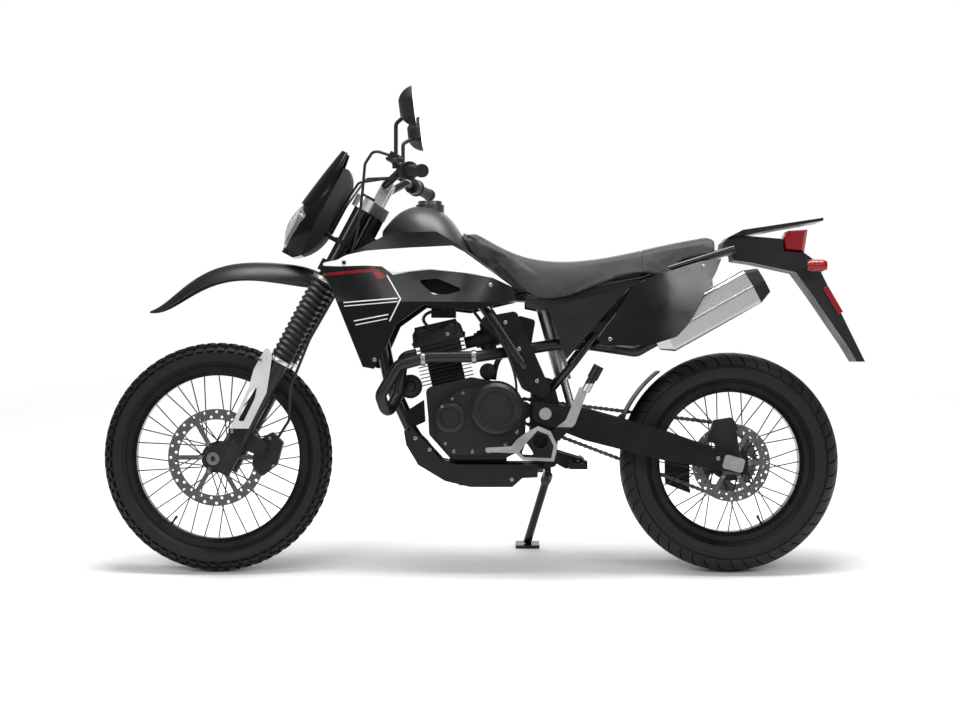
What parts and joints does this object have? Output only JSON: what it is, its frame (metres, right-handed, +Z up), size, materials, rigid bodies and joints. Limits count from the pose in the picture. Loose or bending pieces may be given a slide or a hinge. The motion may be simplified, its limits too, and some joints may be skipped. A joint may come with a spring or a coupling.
{
  "type": "trail motorcycle",
  "caption": "Road-legal trail motorcycle with a long-travel fork, wire wheels, high silencer and narrow bodywork, parked leaning on its side stand.",
  "frame": {"origin": "on the floor under the middle of the parked bike", "axes": "+X towards the rear wheel, +Y towards the side stand, +Z up; the bike leans 10 degrees towards +Y"},
  "size_m": [2.1509, 0.8213, 1.375],
  "materials": {
    "tyre_rubber": "matte",
    "black_rim": "gloss",
    "black_hub": "satin",
    "disc_steel": "brushed",
    "chain_steel": "satin",
    "fork_silver": "satin",
    "gaiter_rubber": "matte",
    "gloss_black": "gloss",
    "matte_black": "matte",
    "frame_black": "satin",
    "engine_dark": "satin",
    "exhaust_black": "satin",
    "silencer_metal": "brushed",
    "seat_cover": "matte",
    "clear_lens": "gloss",
    "red_lens": "gloss",
    "mirror_glass": "polished",
    "silver_alloy": "satin"
  },
  "bodies": {
    "chassis": {"brake_pedal": "silver_alloy", "carburettor": "matte_black", "chain": "chain_steel", "crankcase": "engine_dark", "cylinder": "engine_dark", "cylinder_head": "engine_dark", "engine_covers": "engine_dark", "exhaust_header": "exhaust_black", "footpegs": "frame_black", "front_sprocket": "disc_steel", "fuel_tank": "gloss_black", "gear_lever": "silver_alloy", "heel_guard": "frame_black", "main_frame": "frame_black", "pivot_bolt": "silver_alloy", "plate_carrier": "matte_black", "rear_axle": "silver_alloy", "rear_caliper": "black_hub", "rear_hugger": "matte_black", "rear_indicators": "red_lens", "seat": "seat_cover", "shock": "silver_alloy", "shrouds": "gloss_black", "side_panels": "matte_black", "silencer": "silencer_metal", "silencer_cap": "matte_black", "skid_plate": "matte_black", "stand_bracket": "frame_black", "swingarm": "frame_black", "tail_lamp": "red_lens", "tail_panels": "gloss_black", "tail_rack": "frame_black", "tank_cap": "silver_alloy"},
    "steering": {"fork_tubes": "frame_black", "fork_gaiters": "gaiter_rubber", "fork_sliders": "black_hub", "fork_guards": "fork_silver", "front_axle": "silver_alloy", "lower_triple_clamp": "frame_black", "upper_triple_clamp": "fork_silver", "handlebar": "frame_black", "grips": "gaiter_rubber", "controls": "matte_black", "mirrors": "matte_black", "mirror_glass": "mirror_glass", "lamp_cowl": "gloss_black", "headlamp_lens": "clear_lens", "front_mudguard": "gloss_black", "front_caliper": "black_hub", "brake_hose": "gaiter_rubber"},
    "front_wheel": {"front_tyre": "tyre_rubber", "front_rim": "black_rim", "front_hub": "black_hub", "front_disc": "disc_steel"},
    "rear_wheel": {"rear_tyre": "tyre_rubber", "rear_rim": "black_rim", "rear_hub": "black_hub", "rear_disc": "disc_steel", "rear_sprocket": "disc_steel"},
    "side_stand": {"side_stand": "frame_black"}
  },
  "joints": [
    {"name": "steering", "type": "hinge", "parent": "chassis", "child": "steering", "pos_m": [-0.69031, -0.14848, 0.28764], "axis": [0.4726, 0.153, 0.8679], "range_deg": [-42, 42]},
    {"name": "front_wheel_spin", "type": "hinge", "parent": "steering", "child": "front_wheel", "pos_m": [-0.752, -0.14274, 0.32022], "axis": [0, 0.9848, -0.1736], "continuous": true},
    {"name": "rear_wheel_spin", "type": "hinge", "parent": "chassis", "child": "rear_wheel", "pos_m": [0.69791, -0.14517, 0.30643], "axis": [0, 0.9848, -0.1736], "continuous": true},
    {"name": "side_stand", "type": "hinge", "parent": "chassis", "child": "side_stand", "pos_m": [0.185, -0.0439, 0.23578], "axis": [-0.1699, -0.9787, -0.115], "range_deg": [0, 100]}
  ]
}
